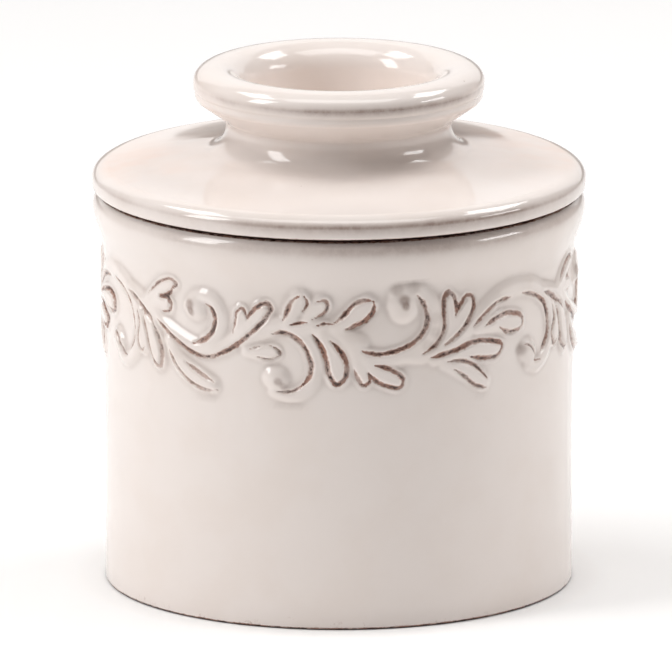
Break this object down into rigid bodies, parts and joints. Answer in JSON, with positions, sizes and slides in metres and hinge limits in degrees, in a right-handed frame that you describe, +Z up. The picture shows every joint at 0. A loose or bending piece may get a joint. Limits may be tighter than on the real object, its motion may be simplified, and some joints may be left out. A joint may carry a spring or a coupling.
{
  "type": "butter crock",
  "caption": "Round stoneware pot with a beaded rim, and a lift-off lid with a hollow flared knob that carries a hanging cup for butter.",
  "frame": {"origin": "centre of the foot ring, on the surface that the crock stands on", "axes": "+Z up along the axis that every piece is turned about; X and Y are level, and -Y faces the viewer"},
  "size_m": [0.102, 0.102, 0.1082],
  "materials": {
    "pot_glaze": "gloss",
    "lid_glaze": "gloss",
    "cup_glaze": "gloss"
  },
  "bodies": {
    "pot": {"crock": "pot_glaze"},
    "lid_and_cup": {"lid": "lid_glaze", "butter_cup": "cup_glaze"}
  },
  "joints": [
    {"name": "lid_lift", "type": "slide", "parent": "pot", "child": "lid_and_cup", "axis": [0, 0, 1], "range_m": [0, 0.07]}
  ]
}
